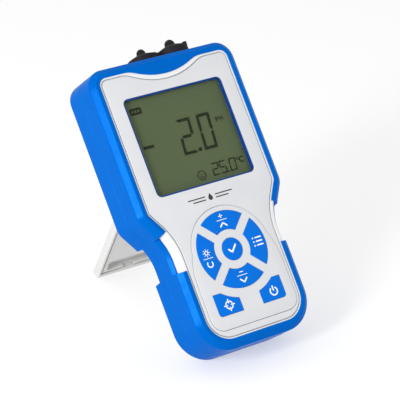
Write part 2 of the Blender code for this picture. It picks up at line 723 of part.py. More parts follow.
def build_cap(name, x, barrel, nub, nub_y, crown_y):
    """A rubber dust cap over a socket: a coned skirt with a round pull nub."""
    rim_y = crown_y - CAP_SLOPE
    profile = [(0, nub_y)] + arc(0, nub_y - nub, nub, math.pi / 2, 0, 5)[1:]
    profile += [
        (nub, crown_y + 0.3),
        (nub + 0.6, crown_y),
        (CAP_RADIUS - 0.4, rim_y),
        (CAP_RADIUS, rim_y - 0.5),
        (CAP_RADIUS, CAP_FOOT_Y),
        (barrel, CAP_FOOT_Y),
        (barrel, rim_y - 0.2),
        (0, rim_y - 0.2),
    ]
    turned(name, (x, SOCKET_Z), profile, RUBBER_BLACK)


def build_top():
    build_socket("bnc", BNC_X, 4.8, 3.9, 6.6, 175.0)
    build_socket("temp", TEMP_X, 4.1, 3.0, 5.8, 173.8)
    build_cap("bnc_cap", BNC_X, 6.9, 3.0, 181.6, 178.0)
    build_cap("temp_cap", TEMP_X, 6.1, 2.6, 180.0, 176.8)


# --- kickstand --------------------------------------------------------------------------
def stand_half(distance):
    """Half the kickstand's width at a distance from its foot."""
    share = distance / STAND_LENGTH
    return STAND_FOOT_HALF + (STAND_HINGE_HALF - STAND_FOOT_HALF) * share


def build_stand():
    """The kickstand, drawn about its hinge: y runs up from the foot, z towards the meter."""
    foot_y, half = -STAND_LENGTH, STAND_THICK / 2
    outline = mirrored([(STAND_FOOT_HALF, foot_y), (STAND_HINGE_HALF, 0)])
    stand = slab("kickstand", outline, -half, half, ABS_WHITE, parent=STAND_HINGE)
    reach = (half * 0.998, -STAND_HINGE_HALF, STAND_HINGE_HALF)
    join(stand, rod("stand_knuckle", (0, 0), *reach, axis="x", parent=STAND_HINGE))
    panel = mirrored([(stand_half(d) - STAND_RIM, foot_y + d) for d in STAND_PANEL_FROM_FOOT])
    cut(stand, slab("stand_panel", panel, half - STAND_PANEL_DEPTH, half + 1, parent=STAND_HINGE))
    low, high = (foot_y + d for d in POCKET_FROM_FOOT)
    pocket = rounded_box((-POCKET_X, low), (POCKET_X, high), 1.5, 3)
    cut(stand, slab("stand_pocket", pocket, half - POCKET_DEPTH, half + 1, parent=STAND_HINGE))
    notch_low = (-THUMB_NOTCH_HALF, foot_y - 1, half - POCKET_DEPTH + 0.5)
    notch_high = (THUMB_NOTCH_HALF, low + 1, half + 1)
    cut(stand, box("thumb_notch", notch_low, notch_high, parent=STAND_HINGE))
    bore = rod("stand_bore", (0, 0), PIN_BORE, -25, 25, axis="x", sides=16, parent=STAND_HINGE)
    cut(stand, bore)
    rod("hinge_pin", (HINGE_Y, HINGE_Z), PIN_RADIUS, -PIN_HALF, PIN_HALF, STEEL, axis="x", sides=16)
    return stand


# --- stance -----------------------------------------------------------------------------
def stand_on_table(sleeve, stand):
    """Tilts the meter back, opens its kickstand and flattens both where they meet the table."""
    METER.rotation_euler = (LEAN, 0, 0)
    lowest = BACK_CHAMFER * math.cos(LEAN)
    METER.location = (0, ORIGIN_Y * MM, (-lowest - SLEEVE_SOLE) * MM)
    STAND_HINGE.parent = METER
    STAND_HINGE.location = (0, HINGE_Y * MM, HINGE_Z * MM)
    STAND_HINGE.rotation_euler = (OPEN_ANGLE, 0, 0)
    table = box("table", (-80, -100, -40), (80, 200, 0))
    table.parent = None
    cut(sleeve, table)
    cut(stand, table)


for empty in (METER, STAND_HINGE):
    PARTS.objects.link(empty)
sleeve = build_sleeve()
build_front_shell()
build_back_shell()
build_gasket()
build_screws()
build_face()
build_keypad()
build_display()
build_board()
build_power()
build_top()
stand = build_stand()
stand_on_table(sleeve, stand)
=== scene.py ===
"""Looks of the handheld pH meter: fine shapes, materials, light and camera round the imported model.

Shapes are drawn lying face up, in millimetres: x across the meter, y from its foot to its
sockets, z from its back to its front. METER_SPACE then tilts them back onto the kickstand.
"""

import json
import math

import bmesh
import bpy
from mathutils import Matrix, Vector


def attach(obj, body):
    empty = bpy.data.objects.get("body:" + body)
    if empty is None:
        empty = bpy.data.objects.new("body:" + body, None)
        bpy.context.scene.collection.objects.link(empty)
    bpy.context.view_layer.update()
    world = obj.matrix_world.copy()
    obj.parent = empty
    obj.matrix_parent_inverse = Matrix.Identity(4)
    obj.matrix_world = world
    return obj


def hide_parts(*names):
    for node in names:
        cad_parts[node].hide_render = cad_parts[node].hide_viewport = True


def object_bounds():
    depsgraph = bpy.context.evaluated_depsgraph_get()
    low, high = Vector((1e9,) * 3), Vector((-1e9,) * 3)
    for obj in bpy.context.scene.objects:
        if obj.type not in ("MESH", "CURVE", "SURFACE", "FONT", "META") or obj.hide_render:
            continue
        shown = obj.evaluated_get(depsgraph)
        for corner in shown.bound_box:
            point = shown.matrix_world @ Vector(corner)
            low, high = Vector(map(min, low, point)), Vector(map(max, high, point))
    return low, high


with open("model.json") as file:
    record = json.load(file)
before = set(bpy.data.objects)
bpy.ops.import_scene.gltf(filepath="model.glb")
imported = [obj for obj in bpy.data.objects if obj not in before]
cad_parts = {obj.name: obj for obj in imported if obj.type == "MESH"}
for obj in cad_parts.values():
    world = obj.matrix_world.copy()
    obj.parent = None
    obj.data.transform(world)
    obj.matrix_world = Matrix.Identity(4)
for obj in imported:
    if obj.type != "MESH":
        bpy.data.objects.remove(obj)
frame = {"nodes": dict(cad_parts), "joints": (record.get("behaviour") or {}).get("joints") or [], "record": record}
CAD_BOX = [list(corner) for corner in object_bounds()]

MM = 0.001
SLOTS = {part["node"]: part["material_slot"] for part in frame["record"]["subparts"]}
JOINTS = {joint["name"]: joint for joint in frame["joints"]}

# --- where the meter lies, from its joints ----------------------------------------------
HINGE_Y, HINGE_Z = 122.0, 3.4
OUT_OF_BACK = Vector(JOINTS["door_slide"]["axis"])
LEAN = math.atan2(OUT_OF_BACK.y, -OUT_OF_BACK.z)
HINGE = Vector(JOINTS["stand_hinge"]["pos_m"])
OPEN_ANGLE = -math.radians(JOINTS["stand_hinge"]["range_deg"][0])
TILT = Matrix.Rotation(LEAN, 4, "X")
METER_SPACE = (
    Matrix.Translation(HINGE - TILT @ Vector((0, HINGE_Y * MM, HINGE_Z * MM)))
    @ TILT
    @ Matrix.Scale(MM, 4)
)
STAND_SPACE = (
    Matrix.Translation(HINGE) @ Matrix.Rotation(LEAN + OPEN_ANGLE, 4, "X") @ Matrix.Scale(MM, 4)
)

# --- the meter's outline ----------------------------------------------------------------
LENGTH = 170.0
HEAD_HALF = 48.5
GRIP_HALF = 37.6
FOOT_RADIUS = 19.5
TOP_RADIUS = 10.5
NECK_START = 56.0
NECK_HOLLOW_RADIUS = 32.0
NECK_SHOULDER_RADIUS = 10.0
NECK_TURN = math.radians(32)
WAIST_Y = (68.0, 92.0)  # over this stretch the rims change from the grip's to the head's

# --- levels of the face -----------------------------------------------------------------
LIP_Z = 30.4
RIM_Z = 29.9
GROOVE_Z = 28.7
FRONT_RIM_Z = 19.2  # where the front half of the housing ends
CEILING_Z = 25.3  # the underside of its face
WINDOW_SEAT_Z, PAD_SEAT_Z = 27.6, 27.3
PLATE_Z = (29.45, 30.2)
GROOVE = 0.6
NOTCH_Y = (49.0, 70.0)
NOTCH_Z = (7.2, 25.2)
NOTCH_EDGE = 0.5
NOTCH_X = 20.0  # the notches are in the outline's flanks, beyond this
BAND_BEVEL = 1.7
WALL_INSET = 2.35

# --- openings of the face ---------------------------------------------------------------
LENS_X, LENS_Y = 32.9, (91.6, 149.7)
VIEW_X, VIEW_Y = 32.2, (92.3, 149.0)
MASK_Z = (27.7, 30.03)
LCD_Z = (25.0, 27.2)
PAD_CENTRE_Y = 52.8
PAD_RADIUS = 25.3
PAD_HALF = 28.8
PAD_FOOT_Y = 10.8
PAD_CORNER = 7.5
BEZEL_Z = (27.6, 30.6)
RING_OUTER = 22.4
RING_INNER = 11.5
RING_GAP_HALF = 2.65
OK_RADIUS = 6.5
CORNER_KEY_X = (6.8, 22.6)
CORNER_KEY_Y = (18.5, 31.2)
CORNER_KEY_SCOOP = 27.7
KEY_SLOT = 0.14
KEY_TOP = 30.8
KEY_FLANGE, KEY_FLANGE_Z = 0.8, (26.1, 27.3)
KEY_STEM_RADIUS, KEY_STEM_Z = 2.2, (23.6, 26.7)
THROUGH_FACE = (20.0, 32.0)  # levels below and above everything in the face

# --- kickstand and caps -----------------------------------------------------------------
STAND_LENGTH = 106.5
STAND_FOOT_HALF = 21.5
STAND_HINGE_HALF = 18.0
STAND_HALF_THICK = 3.0
TRAY_FROM_FOOT, TRAY_DEPTH = (1.4, STAND_LENGTH - 6.6), 0.5
TRAY_RIM, TRAY_GROOVE, TRAY_GROOVE_DEPTH = 1.3, 1.3, 2.2
POCKET_X, POCKET_FROM_FOOT, POCKET_DEPTH = 16.0, (5.0, 13.0), 4.2
SCOOP_X, SCOOP_FROM_FOOT, SCOOP_DEPTH = 4.0, (3.4, 8.0), 3.2
PIN_BORE = 1.3
SOCKET_Z = 11.0
BNC_X, TEMP_X = 20.9, 0.7
CAP_FOOT_Y = 170.4
CAP_RADIUS = 9.6
CAP_SLOPE = 2.2
PORT_RADIUS = 7.6


# --- materials --------------------------------------------------------------------------
def link(tree, source, target):
    tree.links.new(source, target)


def node(tree, kind, **values):
    made = tree.nodes.new(kind)
    for key, value in values.items():
        if key in made.inputs:
            made.inputs[key].default_value = value
        else:
            setattr(made, key, value)
    return made


def noise(tree, scale, detail=4.0):
    """Noise in the piece's own space. scale is in features per metre."""
    place = node(tree, "ShaderNodeTexCoord")
    made = node(tree, "ShaderNodeTexNoise", Scale=scale, Detail=detail)
    link(tree, place.outputs["Object"], made.inputs["Vector"])
    return made.outputs["Fac"]


def spread(tree, value, low, high):
    """value, which runs from about 0.3 to 0.7, spread over low to high."""
    made = node(tree, "ShaderNodeMapRange")
    made.inputs["From Min"].default_value = 0.3
    made.inputs["From Max"].default_value = 0.7
    made.inputs["To Min"].default_value = low
    made.inputs["To Max"].default_value = high
    link(tree, value, made.inputs["Value"])
    return made.outputs["Result"]


GRAIN_STEP = 0.00005


def moulded(
    name,
    colour,
    roughness,
    grain=2500.0,
    grain_depth=0.02,
    mottle=0.04,
    mottle_scale=60.0,
    metallic=0.0,
    gloss=0.35,
):
    """A moulded or painted surface: fine grain in its height, slow changes in its tone and gloss.

    grain and mottle_scale are in features per metre. grain_depth is a share of 0.5 mm.
    """
    made = bpy.data.materials.new(name)
    made.use_nodes = True
    tree = made.node_tree
    shader = tree.nodes["Principled BSDF"]
    shader.inputs["Metallic"].default_value = metallic
    shader.inputs["Specular IOR Level"].default_value = gloss
    dark = [c * (1 - mottle) for c in colour]
    light = [min(1.0, c * (1 + mottle)) for c in colour]
    slow = noise(tree, mottle_scale)
    blend = node(tree, "ShaderNodeMix", data_type="RGBA")
    for socket, value in (("A", dark), ("B", light)):
        for found in blend.inputs:
            if found.name == socket and found.type == "RGBA":
                found.default_value = (*value, 1)
    link(tree, spread(tree, slow, 0, 1), blend.inputs["Factor"])
    colour_out = next(o for o in blend.outputs if o.type == "RGBA")
    link(tree, colour_out, shader.inputs["Base Color"])
    patch = noise(tree, mottle_scale * 3)
    link(tree, spread(tree, patch, roughness - 0.05, roughness + 0.05), shader.inputs["Roughness"])
    bump = node(tree, "ShaderNodeBump", Strength=grain_depth * 10, Distance=GRAIN_STEP)
    link(tree, noise(tree, grain, 2.0), bump.inputs["Height"])
    link(tree, bump.outputs["Normal"], shader.inputs["Normal"])
    return made


def clear(name, alpha, roughness, colour=(1, 1, 1)):
    made = bpy.data.materials.new(name)
    made.use_nodes = True
    shader = made.node_tree.nodes["Principled BSDF"]
    shader.inputs["Base Color"].default_value = (*colour, 1)
    shader.inputs["Alpha"].default_value = alpha
    shader.inputs["Specular IOR Level"].default_value = 0.3
    shader.inputs["Roughness"].default_value = roughness
    return made


LOOKS = {
    "rubber_blue": moulded(
        "sleeve_silicone", (0.0, 0.118, 0.51), 0.24, 2200, 0.01, 0.03, metallic=0.05, gloss=0.01
    ),
    "abs_white": moulded("housing_abs", (0.77, 0.775, 0.78), 0.4, 3000, 0.02, 0.01),
    "silver_paint": moulded(
        "silver_paint", (0.665, 0.675, 0.695), 0.4, 5200, 0.02, 0.015, 90, metallic=0.15
    ),
    "key_blue": moulded("key_film", (0.0, 0.15, 0.66), 0.4, 3000, 0.01, 0.015, gloss=0.06),
    "rubber_black": moulded(
        "black_rubber", (0.015, 0.014, 0.017), 0.6, 1800, 0.04, 0.2, gloss=0.15
    ),
    "steel": moulded("nickel_plate", (0.62, 0.61, 0.58), 0.25, 4000, 0.01, 0.05, metallic=1.0),
    "brass": moulded("contact_plate", (0.72, 0.55, 0.25), 0.3, 3000, 0.01, 0.06, metallic=1.0),
    "mask_ink": moulded("window_ink", (0.003, 0.05, 0.25), 0.4, 4000, 0.005, 0.03, gloss=0.1),
    "lcd_glass": moulded(
        "lcd_polariser", (0.088, 0.117, 0.054), 0.4, 5000, 0.004, 0.03, 25, gloss=0.1
    ),
    "diffuser": moulded("light_guide", (0.8, 0.85, 0.7), 0.45, 3000, 0.01, 0.02),
    "board_green": moulded("solder_mask", (0.02, 0.16, 0.06), 0.35, 900, 0.05, 0.12),
    "insulator": moulded("ptfe", (0.82, 0.82, 0.79), 0.45, 2500, 0.01, 0.02),
    "cell_wrap": moulded("cell_wrap", (0.03, 0.035, 0.05), 0.3, 2000, 0.01, 0.08),
    "clear_acrylic": clear("clear_acrylic", 0.02, 0.05, (0.1, 0.12, 0.12)),
}
STAND_LOOK = moulded("kickstand_abs", (0.62, 0.615, 0.605), 0.42, 3000, 0.03, 0.015)
PRINT_WHITE = moulded("print_white", (0.88, 0.9, 0.93), 0.4, 3000, 0.01, 0.02)
PRINT_DARK = moulded("print_dark", (0.03, 0.03, 0.035), 0.4, 3000, 0.01, 0.05)
LCD_INK = moulded("lcd_segment", (0.018, 0.024, 0.01), 0.4, 4000, 0.003, 0.05, gloss=0.05)


# --- making pieces ----------------------------------------------------------------------
def add_piece(name, bm, look, body, nodes=(), space=METER_SPACE, sharp=32):
    """Turns bm into a piece that rides on a body and stands for these CAD nodes."""
    bmesh.ops.recalc_face_normals(bm, faces=bm.faces)
    mesh = bpy.data.meshes.new(name)
    bm.to_mesh(mesh)
    bm.free()
    mesh.transform(space)
    mesh.materials.append(look)
    obj = bpy.data.objects.new(name, mesh)
    bpy.context.scene.collection.objects.link(obj)
    finish_piece(obj, body, nodes, sharp)
    return obj


def finish_piece(obj, body, nodes=(), sharp=32):
    obj.data.shade_smooth()
    obj.data.set_sharp_from_angle(angle=math.radians(sharp))
    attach(obj, body)
    if nodes:
        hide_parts(*nodes)


def cut_from(bm, cutters, union=()):
    """bm with these cutters taken away and these solids joined on, by exact Booleans."""
    base = temporary(bm)
    for tools, operation in ((union, "UNION"), (cutters, "DIFFERENCE")):
        for tool in tools:
            other = temporary(tool)
            step = base.modifiers.new(operation, "BOOLEAN")
            step.operation = operation
            step.solver = "EXACT"
            step.object = other
    depsgraph = bpy.context.evaluated_depsgraph_get()
    mesh = bpy.data.meshes.new_from_object(base.evaluated_get(depsgraph))
    made = bmesh.new()
    made.from_mesh(mesh)
    tools = [step.object for step in base.modifiers]
    for obj in (base, *tools):
        bpy.data.objects.remove(obj)
    bpy.data.meshes.remove(mesh)
    return made


def temporary(bm):
    bmesh.ops.recalc_face_normals(bm, faces=bm.faces)
    mesh = bpy.data.meshes.new("temporary")
    bm.to_mesh(mesh)
    bm.free()
    obj = bpy.data.objects.new("temporary", mesh)
    bpy.context.scene.collection.objects.link(obj)
    return obj


def loft(rings, closed=False):
    """Quads between rings of points. The first and last are capped, or joined if closed."""
    bm = bmesh.new()
    rows = [[bm.verts.new(point) for point in ring] for ring in rings]
    pairs = list(zip(rows, rows[1:] + rows[:1])) if closed else list(zip(rows, rows[1:]))
    count = len(rows[0])
    for below, above in pairs:
        for i in range(count):
            j = (i + 1) % count
            bm.faces.new((below[i], below[j], above[j], above[i]))
    if not closed:
        bm.faces.new(rows[0])
        bm.faces.new(rows[-1])
    bmesh.ops.remove_doubles(bm, verts=bm.verts, dist=0.002)
    return bm


def round_edges(bm, edges, radius):
    bmesh.ops.bevel(bm, geom=edges, offset=radius, segments=3, affect="EDGES", profile=0.5)


def prism(outline, low, high, top=0.0, bottom=0.0):
    """A plate of this outline, with its top and bottom rims rounded."""
    bm = bmesh.new()
    face = bm.faces.new([bm.verts.new((x, y, low)) for x, y in outline])
    grown = bmesh.ops.extrude_face_region(bm, geom=[face])
    raised = [v for v in grown["geom"] if isinstance(v, bmesh.types.BMVert)]
    bmesh.ops.translate(bm, verts=raised, vec=(0, 0, high - low))
    for size, level in ((top, high), (bottom, low)):
        if size:
            edges = [e for e in bm.edges if all(abs(v.co.z - level) < 1e-4 for v in e.verts)]
            round_edges(bm, edges, size)
    return bm


def block(low, high, radius=0.0):
    """A box, its edges rounded by radius."""
    bm = bmesh.new()
    centre = [(a + b) / 2 for a, b in zip(low, high)]
    size = [b - a for a, b in zip(low, high)]
    shape = Matrix.Translation(centre) @ Matrix.Diagonal((*size, 1.0))
    bmesh.ops.create_cube(bm, size=1.0, matrix=shape)
    if radius:
        round_edges(bm, bm.edges[:], radius)
    return bm


def cylinder(centre, radius, low, high, axis, sides=48):
    bm = bmesh.new()
    turn = {"x": ("Y", 90), "y": ("X", -90), "z": ("Z", 0)}[axis]
    middle = (low + high) / 2
    place = {
        "x": (middle, centre[0], centre[1]),
        "y": (centre[0], middle, centre[1]),
        "z": (centre[0], centre[1], middle),
    }[axis]
    bmesh.ops.create_cone(
        bm,
        cap_ends=True,
        segments=sides,
        radius1=radius,
        radius2=radius,
        depth=high - low,
        matrix=Matrix.Translation(place) @ Matrix.Rotation(math.radians(turn[1]), 4, turn[0]),
    )
    return bm


def turned(spot, profile, steps=64):
    """A solid turned about y through spot. profile is (radius, y), from the axis and back to it."""
    bm = bmesh.new()
    rings = []
    for radius, y in profile:
        if radius < 1e-6:
            rings.append([bm.verts.new((spot[0], y, spot[1]))])
            continue
        angles = [2 * math.pi * i / steps for i in range(steps)]
        ring = [(spot[0] + radius * math.cos(a), y, spot[1] + radius * math.sin(a)) for a in angles]
        rings.append([bm.verts.new(point) for point in ring])
    for first, second in zip(rings, rings[1:]):
        for i in range(steps):
            j = (i + 1) % steps
            corners = [first[k % len(first)] for k in (i, j)]
            corners += [second[k % len(second)] for k in (j, i)]
            unique = list(dict.fromkeys(corners))
            if len(unique) > 2:
                bm.faces.new(unique)
    return bm


def under_table(space):
    """A slab below the table, drawn in this space, that flattens whatever stands on the table."""
    slab = block((-90, -100, -40), (90, 100, 0))
    bmesh.ops.transform(slab, matrix=space.inverted() @ Matrix.Scale(MM, 4), verts=slab.verts)
    return slab


def merged(parts):
    """Several bmeshes as one, each still a closed body."""
    whole = bmesh.new()
    for part in parts:
        mesh = bpy.data.meshes.new("part")
        bmesh.ops.recalc_face_normals(part, faces=part.faces)
        part.to_mesh(mesh)
        part.free()
        whole.from_mesh(mesh)
        bpy.data.meshes.remove(mesh)
    return whole


# --- outlines ---------------------------------------------------------------------------
def arc(x, y, radius, start, end, steps):
    turns = [start + (end - start) * i / steps for i in range(steps + 1)]
    return [(x + radius * math.cos(t), y + radius * math.sin(t)) for t in turns]


def filleted(corners, steps=3):
    """A path through corners (a, b, radius), each corner with a radius rounded by an arc.

    A point just before and after each arc keeps the shading of long flats even.
    """
    points = []
    for i, (a, b, radius) in enumerate(corners):
        here = Vector((a, b))
        if not radius or i in (0, len(corners) - 1):
            points.append((a, b))
            continue
        back = (Vector(corners[i - 1][:2]) - here).normalized()
        ahead = (Vector(corners[i + 1][:2]) - here).normalized()
        points.append(tuple(here + back * (radius + 0.1)))
        for step in range(steps + 1):
            share = step / steps
            low = here + back * radius * (1 - share) ** 2
            points.append(tuple(low + ahead * radius * share**2))
        points.append(tuple(here + ahead * (radius + 0.1)))
    return points


def mirrored(half):
    return half + [(-x, y) for x, y in reversed(half)]


def rounded_box(low, high, radius, steps=8):
    corners = (
        (high[0] - radius, low[1] + radius, -0.5),
        (high[0] - radius, high[1] - radius, 0.0),
        (low[0] + radius, high[1] - radius, 0.5),
        (low[0] + radius, low[1] + radius, 1.0),
    )
    points = []
    for x, y, turn in corners:
        start = turn * math.pi
        points += arc(x, y, radius, start, start + math.pi / 2, steps)
    return points


def body_half(inset):
    """Right half of the meter's outline, moved inwards by inset. Its arcs keep their centres."""
    turn = NECK_TURN
    radii = NECK_HOLLOW_RADIUS + NECK_SHOULDER_RADIUS
    slope_x = HEAD_HALF - GRIP_HALF - radii * (1 - math.cos(turn))
    shoulder_y = NECK_START + radii * math.sin(turn) + slope_x / math.tan(turn)
    foot_x = GRIP_HALF - FOOT_RADIUS
    foot = arc(foot_x, FOOT_RADIUS, FOOT_RADIUS - inset, -math.pi / 2, 0, 24)
    hollow_x = GRIP_HALF + NECK_HOLLOW_RADIUS
    hollow_end = math.pi - turn
    hollow = arc(hollow_x, NECK_START, NECK_HOLLOW_RADIUS + inset, math.pi, hollow_end, 14)
    shoulder_x = HEAD_HALF - NECK_SHOULDER_RADIUS
    shoulder = arc(shoulder_x, shoulder_y, NECK_SHOULDER_RADIUS - inset, -turn, 0, 10)
    crown_x, crown_y = HEAD_HALF - TOP_RADIUS, LENGTH - TOP_RADIUS
    crown = arc(crown_x, crown_y, TOP_RADIUS - inset, 0, math.pi / 2, 16)
    return foot + hollow + shoulder + crown


def stations():
    """The right half of the outline, close together, as (point, inward direction)."""
    base = [Vector(p) for p in body_half(0)]
    inner = [Vector(p) for p in body_half(1)]
    rows = [(a, b - a) for a, b in zip(base, inner)]
    rows = [(Vector((0.0, 0.0)), Vector((0.0, 1.0)))] + rows
    rows.append((Vector((0.0, LENGTH)), Vector((0.0, -1.0))))
    wanted = sorted(y + side * NOTCH_EDGE / 2 for y in NOTCH_Y for side in (-1, 1))
    made = [rows[0]]
    for (p, d), (q, e) in zip(rows, rows[1:]):
        shares = {1.0}
        steps = max(1, math.ceil((q - p).length / 1.5))
        shares |= {i / steps for i in range(1, steps)}
        shares |= {(y - p.y) / (q.y - p.y) for y in wanted if p.y < y < q.y}
        made += [(p.lerp(q, share), d.lerp(e, share)) for share in sorted(shares)]
    return made


STATIONS = stations()


def smooth_step(value, low, high):
    share = min(1.0, max(0.0, (value - low) / (high - low)))
    return share * share * (3 - 2 * share)


def rim(grip, head, top=None, dip_y=None, dip_radius=0.0):
    """An inset that changes from the grip to the head and, if asked, dips into the top edge."""

    def inset(point):
        size = grip + (head - grip) * smooth_step(point.y, *WAIST_Y)
        if top is not None:
            size += (top - head) * smooth_step(point.y, LENGTH - TOP_RADIUS, LENGTH - 1)
        if dip_y is not None and point.y > LENGTH - 0.01 and abs(point.x) < dip_radius:
            bottom = dip_y + dip_radius - math.sqrt(dip_radius**2 - point.x**2)
            depth = LENGTH - bottom
            bend = 0.8  # the dip's ends run into the straight rim over about this much
            size = size + math.log1p(math.exp((depth - size) / bend)) * bend
        return size

    return inset


def ring(inset, z):
    """The whole outline at this inset, which is a number or a rim, as points at level z."""
    half = []
    for point, inward in STATIONS:
        size = inset(point) if callable(inset) else inset
        place = point + inward * size
        half.append((place.x, place.y))
    return [(x, y, z) for x, y in half[:-1] + [(-x, y) for x, y in reversed(half)][:-1]]


LIP = rim(5.6, 5.6, 5.5, 158.9, 44.0)
PLATE = rim(6.9, 7.1, 7.1, 155.7, 44.6)


def shifted(edge, by):
    return lambda point: edge(point) + by


# --- sleeve -----------------------------------------------------------------------------
def sleeve_profile():
    """The sleeve's section as (inset, z), round from the back rim's inner edge and back."""
    outside = filleted(
        [
            (5.0, 0.0, 0),
            (1.2, 0.0, 0.4),
            (0.0, 1.2, 0.5),
            (0.0, 14.3, 0.0),
            (-0.1, 14.4, 0.0),
            (-0.1, 14.7, 0.0),
            (0.0, 14.8, 0.0),
            (0.0, NOTCH_Z[1] - BAND_BEVEL, 0.0),
            (0.0, NOTCH_Z[1], 0.0),
            (0.0, 27.2, 0.35),
            (3.1, LIP_Z, 0.4),
            (3.7, LIP_Z, 0.0),
        ]
    )
    lip = [(-0.25, LIP_Z), (-0.06, LIP_Z - 0.07), (0.0, LIP_Z - 0.25), (0.0, RIM_Z + 0.12)]
    inside = [(3.9, RIM_Z + 0.12), (WALL_INSET, 27.7), (WALL_INSET, 2.5), (5.0, 0.15)]
    rows = [(a, b, False) for a, b in outside]
    rows += [(a, b, True) for a, b in lip]
    return rows + [(a, b, False) for a, b in inside]


def notched(point):
    """Whether a station lies inside the grip notches."""
    half = NOTCH_EDGE / 2
    inside = NOTCH_Y[0] + half - 1e-6 <= point.y <= NOTCH_Y[1] - half + 1e-6
    return inside and abs(point.x) > NOTCH_X


def build_sleeve():
    rings = []
    for inset, z, on_lip in sleeve_profile():
        half = []
        for point, inward in STATIONS:
            size = LIP(point) + inset if on_lip else inset
            level = z
            if notched(point):
                level = min(max(z, NOTCH_Z[0]), NOTCH_Z[1])
                size = min(size, WALL_INSET)
                if z > NOTCH_Z[1] - 0.01:
                    size = max(size, BAND_BEVEL)
            place = point + inward * size
            half.append((place.x, place.y, level))
        rings.append(half[:-1] + [(-x, y, level) for x, y, level in reversed(half)][:-1])
    body = loft(rings, closed=True)
    ports = [cylinder((x, SOCKET_Z), PORT_RADIUS, 160, 175, "y") for x in (BNC_X, TEMP_X)]
    skin = cut_from(body, ports + [under_table(METER_SPACE)])
    add_piece("sleeve_skin", skin, LOOKS["rubber_blue"], "meter", ["sleeve"])


# --- face -------------------------------------------------------------------------------
def pad_outline(grow):
    """The keypad's outline: a round head that widens into a foot with rounded corners."""
    side = PAD_HALF + grow
    head = arc(0, PAD_CENTRE_Y, PAD_RADIUS + grow, math.radians(8), math.pi / 2, 30)[:-1]
    foot_x, foot_y = PAD_HALF - PAD_CORNER, PAD_FOOT_Y + PAD_CORNER
    foot = arc(foot_x, foot_y, PAD_CORNER + grow, -math.pi / 2, 0, 12)
    start, end = Vector((side, 38.0)), Vector(head[0])
    bulge = Vector((side - 0.1, 49.0))
    flank = []
    for i in range(9):
        t = i / 9
        flank.append(tuple(start * (1 - t) ** 2 + bulge * 2 * t * (1 - t) + end * t * t))
    return mirrored(foot + flank + head)


def window_outline(grow, radius=3.2):
    return rounded_box(
        (-LENS_X - grow, LENS_Y[0] - grow), (LENS_X + grow, LENS_Y[1] + grow), radius + grow
    )


def view_outline(grow, radius=1.5):
    return rounded_box(
        (-VIEW_X - grow, VIEW_Y[0] - grow), (VIEW_X + grow, VIEW_Y[1] + grow), radius + grow
    )


def build_front_shell():
    groove = shifted(PLATE, -GROOVE)
    outside = [
        ring(4.9, FRONT_RIM_Z),
        ring(2.6, FRONT_RIM_Z),
        ring(2.6, 27.2),
        ring(2.75, 27.6),
        ring(3.8, 29.2),
        ring(4.15, 29.75),
        ring(4.5, RIM_Z),
        ring(shifted(groove, -0.12), RIM_Z),
        ring(groove, RIM_Z - 0.12),
        ring(groove, GROOVE_Z),
    ]
    under = ring(4.9, CEILING_Z)
    body = loft([under] + outside)
    cutters = [
        prism(window_outline(0.3), WINDOW_SEAT_Z, THROUGH_FACE[1]),
        prism(view_outline(0.4), *THROUGH_FACE),
        prism(pad_outline(0.3), PAD_SEAT_Z, THROUGH_FACE[1]),
        prism(pad_outline(-1.2), *THROUGH_FACE),
    ]
    housing = cut_from(body, cutters)
    add_piece("front_housing", housing, LOOKS["abs_white"], "meter", ["front_shell"])


def build_face_plate():
    low, high = PLATE_Z
    edge = 0.22
    rings = [ring(PLATE, low), ring(PLATE, high - edge)]
    for step in range(1, 4):
        turn = math.pi / 2 * step / 3
        level = high - edge + edge * math.sin(turn)
        rings.append(ring(shifted(PLATE, edge * (1 - math.cos(turn))), level))
    body = loft(rings)
    cutters = [
        prism(outline, *THROUGH_FACE) for outline in (window_outline(0.15), pad_outline(0.28))
    ]
    plate = cut_from(body, cutters)
    add_piece("silver_plate", plate, LOOKS["silver_paint"], "meter", ["face_plate"])


# --- keypad -----------------------------------------------------------------------------
def ring_key(turn, grow=0.0):
    """One of the four ring keys. Its two straight sides lie along the ring's diagonals."""
    outer, inner, side = RING_OUTER + grow, RING_INNER - grow, RING_GAP_HALF - grow
    outer_end = math.pi / 4 - math.asin(side / outer)
    inner_end = math.pi / 4 - math.asin(side / inner)
    points = arc(0, 0, outer, -outer_end, outer_end, 24)
    points += arc(0, 0, inner, inner_end, -inner_end, 14)
    c, s = math.cos(turn), math.sin(turn)
    return [(x * c - y * s, x * s + y * c + PAD_CENTRE_Y) for x, y in points]


def corner_key(side, grow=0.0):
    """A key in the pad's lower corner, scooped to follow the ring. side is 1 or -1."""
    near, far = CORNER_KEY_X[0] - grow, CORNER_KEY_X[1] + grow
    low, high = CORNER_KEY_Y[0] - grow, CORNER_KEY_Y[1] + grow
    scoop = CORNER_KEY_SCOOP - grow
    start = math.asin(near / scoop)
    end = math.acos((PAD_CENTRE_Y - high) / scoop)
    inner = arc(0, PAD_CENTRE_Y, scoop, end - math.pi / 2, start - math.pi / 2, 14)
    corner = arc(far - 2, low + 2, 2, -math.pi / 2, 0, 8)
    points = [(near, low)] + corner + [(far, high)] + inner
    return points if side > 0 else [(-x, y) for x, y in reversed(points)]


def ok_key(grow=0.0):
    return arc(0, PAD_CENTRE_Y, OK_RADIUS + grow, 0, 2 * math.pi, 64)[:-1]


